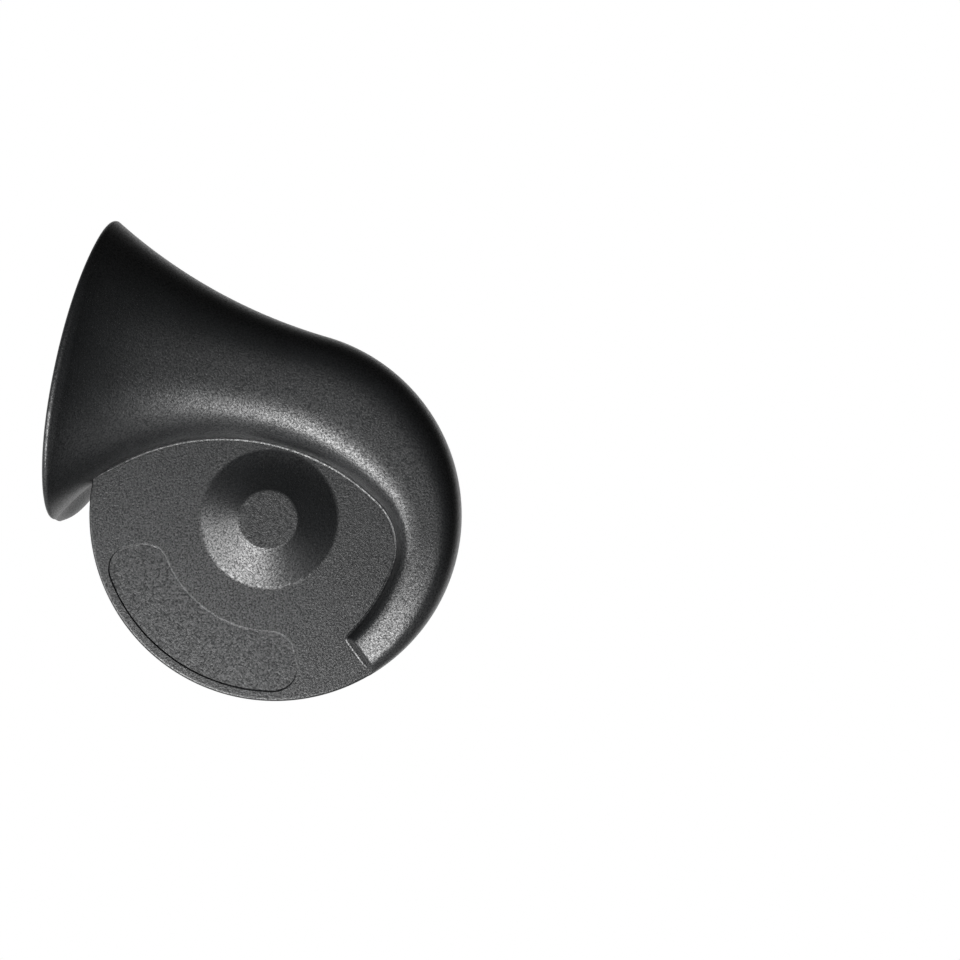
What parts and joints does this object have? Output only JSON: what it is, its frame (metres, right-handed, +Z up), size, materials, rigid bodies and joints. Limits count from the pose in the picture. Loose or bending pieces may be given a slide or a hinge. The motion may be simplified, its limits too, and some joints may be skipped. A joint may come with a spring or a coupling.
{
  "type": "car horn",
  "caption": "Disc-type electric car horn: a round black driver behind a moulded spiral trumpet that flares to a side-facing bell, on a joggled steel bracket.",
  "frame": {"origin": "centre of the bracket's fixing hole, on the bracket's rear face", "axes": "+Z up as the horn is pictured, +Y along the fixing bolt to the rear, -Y towards the disc's face, the bell opening towards -X"},
  "size_m": [0.0986, 0.0755, 0.1152],
  "materials": {
    "black_abs": "fine spark-eroded grain, semi-matt",
    "gasket_board": "matt fibre",
    "diaphragm_steel": "rolled",
    "case_paint": "satin black",
    "zinc_steel": "zinc plated",
    "bobbin_nylon": "natural nylon",
    "enamelled_copper": "enamelled copper wire",
    "phenolic": "pressed phenolic",
    "spring_steel": "tempered",
    "contact_metal": "polished tungsten",
    "brass": "drawn"
  },
  "bodies": {
    "horn_body": {"trumpet_front_shell": "black_abs", "trumpet_rear_shell": "black_abs", "front_gasket": "gasket_board", "diaphragm": "diaphragm_steel", "rear_gasket": "gasket_board", "driver_case": "case_paint", "pole_core": "zinc_steel", "coil_bobbin": "bobbin_nylon", "coil_winding": "enamelled_copper", "rear_insulator": "phenolic", "contact_arm": "spring_steel", "front_insulator": "phenolic", "fixed_contact_strip": "zinc_steel", "fixed_contact_point": "contact_metal", "moving_contact_point": "contact_metal", "contact_rivet_left": "brass", "contact_rivet_right": "brass", "adjusting_screw": "zinc_steel", "adjuster_locknut": "zinc_steel", "terminal_base": "phenolic", "terminal_blade_left": "brass", "terminal_blade_right": "brass", "terminal_rivet": "zinc_steel", "mounting_bracket": "zinc_steel", "spring_washer": "spring_steel", "mounting_nut": "zinc_steel"},
    "armature_set": {"armature": "zinc_steel", "clamp_washer": "zinc_steel"}
  },
  "joints": [
    {"name": "armature_stroke", "type": "slide", "parent": "horn_body", "child": "armature_set", "axis": [0, 1, 0], "range_m": [0, 0.0005], "stiffness_N_per_m": 2000, "deforming": ["diaphragm", "contact_arm"]}
  ]
}
